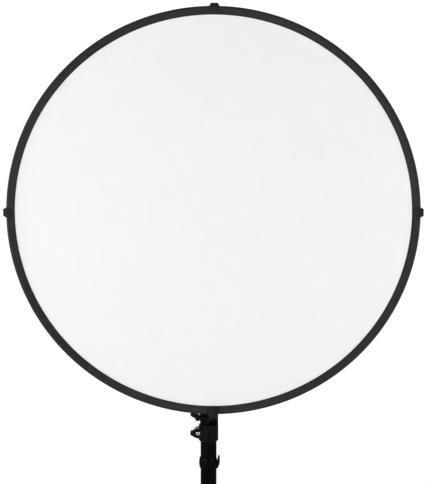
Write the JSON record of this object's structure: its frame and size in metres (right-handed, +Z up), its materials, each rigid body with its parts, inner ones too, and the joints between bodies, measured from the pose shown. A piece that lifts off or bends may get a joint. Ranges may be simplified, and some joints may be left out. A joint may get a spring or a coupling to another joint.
{
  "type": "collapsible reflector disc",
  "caption": "Round white reflector with a black sprung edge, held by a rim clamp on a tilt head and a telescopic riser with a stand socket.",
  "frame": {"origin": "centre of the stand socket's mouth, on the riser's axis", "axes": "+Z up along the riser, away from the stand; the white face looks along -Y; +X to the viewer's right"},
  "size_m": [0.832, 0.0587, 1.2257],
  "materials": {
    "cast_black": "black powder coat on cast aluminium, fine texture",
    "tube_black": "satin black anodised tube",
    "black_steel": "black oxide steel",
    "bare_steel": "turned steel",
    "bright_steel": "bright plated steel",
    "brass": "plain turned brass",
    "nylon": "black nylon",
    "moulded_black": "glass-filled black plastic, fine spark texture",
    "rubber": "black rubber",
    "binding": "woven black polyester tape",
    "webbing": "black woven webbing",
    "white_cloth": "taut matt white polyester",
    "silver_cloth": "silver coated polyester"
  },
  "bodies": {
    "base": {"base_receiver": "cast_black", "outer_tube": "tube_black", "tube_screws": "black_steel", "top_bush": "nylon", "lock_collar": "moulded_black", "lever_pin": "black_steel", "collar_screw": "black_steel", "brake_shoe": "nylon"},
    "socket_shoe": {"base_shoe": "brass"},
    "socket_knob": {"base_screw": "bare_steel", "base_knob": "moulded_black"},
    "flip_lever": {"collar_lever": "moulded_black"},
    "riser": {"inner_tube": "tube_black", "guide_bush": "nylon", "riser_cap": "cast_black", "cap_pin": "black_steel", "head_stud": "bare_steel"},
    "receiver": {"receiver_body": "cast_black", "lever_washer": "black_steel", "pinch_washer": "black_steel", "pinch_nut": "black_steel"},
    "pinch": {"pinch_screw": "bright_steel", "pinch_lever": "moulded_black"},
    "tilter": {"tilt_body": "cast_black", "tilt_bolt": "black_steel", "friction_disc": "nylon", "front_jaw": "moulded_black", "front_jaw_pad": "rubber", "front_jaw_screws": "black_steel"},
    "tilt_handle": {"tilt_lever": "moulded_black", "lever_insert": "brass"},
    "rear_clamp": {"rear_jaw": "cast_black", "rear_jaw_pad": "rubber", "guide_pins": "bare_steel"},
    "clamp_wheel": {"clamp_screw": "bare_steel", "clamp_knob": "moulded_black"},
    "reflector": {"hoop": "bare_steel", "hoop_sleeve": "bare_steel", "edge_binding": "binding", "front_fabric": "white_cloth", "back_fabric": "silver_cloth", "pull_tab_top": "webbing", "pull_tab_right": "webbing", "pull_tab_left": "webbing"}
  },
  "joints": [
    {"name": "socket_shoe_slide", "type": "slide", "parent": "base", "child": "socket_shoe", "axis": [-1, 0, 0], "range_m": [0, 0.004]},
    {"name": "socket_knob_turn", "type": "hinge", "parent": "socket_shoe", "child": "socket_knob", "pos_m": [0.03, 0, 0.022], "axis": [-1, 0, 0], "range_deg": [0, 1153]},
    {"name": "flip_lever_hinge", "type": "hinge", "parent": "base", "child": "flip_lever", "pos_m": [0.0186, 0, 0.2901], "axis": [0, 1, 0], "range_deg": [0, 140]},
    {"name": "riser_slide", "type": "slide", "parent": "base", "child": "riser", "axis": [0, 0, 1], "range_m": [0, 0.195]},
    {"name": "pan_turn", "type": "hinge", "parent": "riser", "child": "receiver", "pos_m": [0, 0, 0.355], "axis": [0, 0, 1], "continuous": true},
    {"name": "pinch_lever_turn", "type": "hinge", "parent": "receiver", "child": "pinch", "pos_m": [-0.0208, 0, 0.3589], "axis": [0, -1, 0], "range_deg": [0, 65]},
    {"name": "tilt", "type": "hinge", "parent": "receiver", "child": "tilter", "pos_m": [0.0099, 0, 0.3872], "axis": [-1, 0, 0], "range_deg": [-40, 70]},
    {"name": "tilt_lever_turn", "type": "hinge", "parent": "tilter", "child": "tilt_handle", "pos_m": [-0.022, 0, 0.3872], "axis": [1, 0, 0], "range_deg": [-100, 0]},
    {"name": "rear_jaw_slide", "type": "slide", "parent": "tilter", "child": "rear_clamp", "axis": [0, 1, 0], "range_m": [0, 0.005]},
    {"name": "clamp_knob_turn", "type": "hinge", "parent": "rear_clamp", "child": "clamp_wheel", "pos_m": [0.0099, 0.006, 0.4092], "axis": [0, 1, 0], "range_deg": [0, 901]},
    {"name": "disc_lift", "type": "slide", "parent": "tilter", "child": "reflector", "axis": [0, 0, 1], "range_m": [0, 0.04]}
  ],
  "couplings": [
    {"joint": "socket_knob_turn", "follows": "socket_shoe_slide", "rad_per_m": 5026.5},
    {"joint": "clamp_knob_turn", "follows": "rear_jaw_slide", "rad_per_m": 3141.6}
  ]
}
